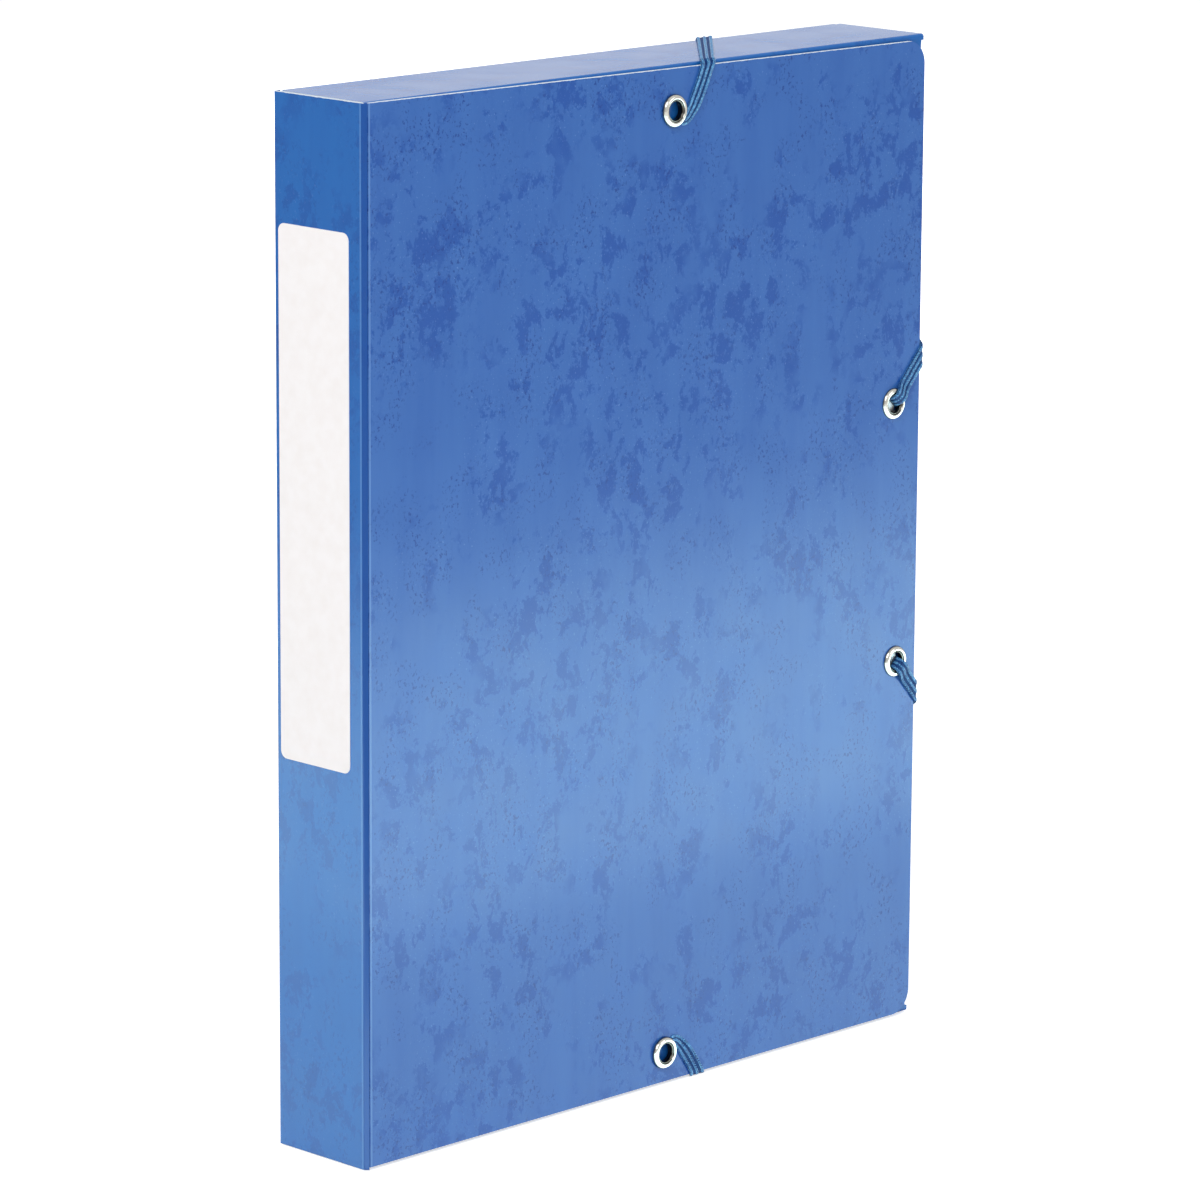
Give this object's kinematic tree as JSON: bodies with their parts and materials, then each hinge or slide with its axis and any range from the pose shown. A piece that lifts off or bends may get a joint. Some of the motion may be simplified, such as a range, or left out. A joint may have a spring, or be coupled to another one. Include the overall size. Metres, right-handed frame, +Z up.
{
  "type": "box file",
  "caption": "Upright card box file for A4 papers: folded body with three inner flaps, a hinged lid, four eyelets, two corner elastics and a blank spine label.",
  "frame": {"origin": "middle of the base of the whole file, standing upright", "axes": "+Z up along the spine, -Y out of the lid, -X towards the spine, +X towards the fore-edge"},
  "size_m": [0.2512, 0.0432, 0.3313],
  "materials": {
    "blue_card": "satin",
    "label_paper": "matte",
    "nickel": "polished",
    "crimped_steel": "satin",
    "braided_elastic": "matte"
  },
  "bodies": {
    "file_body": {"folder_body": "blue_card", "spine_label": "label_paper"},
    "lid_panel": {"lid": "blue_card", "top_eyelet": "nickel", "upper_side_eyelet": "nickel", "lower_side_eyelet": "nickel", "bottom_eyelet": "nickel", "upper_end_bar": "crimped_steel", "lower_end_bar": "crimped_steel", "upper_elastic": "braided_elastic", "lower_elastic": "braided_elastic"}
  },
  "joints": [
    {"name": "lid_hinge", "type": "hinge", "parent": "file_body", "child": "lid_panel", "pos_m": [-0.12401, -0.01942, 0.165], "axis": [0, 0, -1], "range_deg": [0, 180], "deforming": ["upper_elastic", "lower_elastic"]}
  ]
}
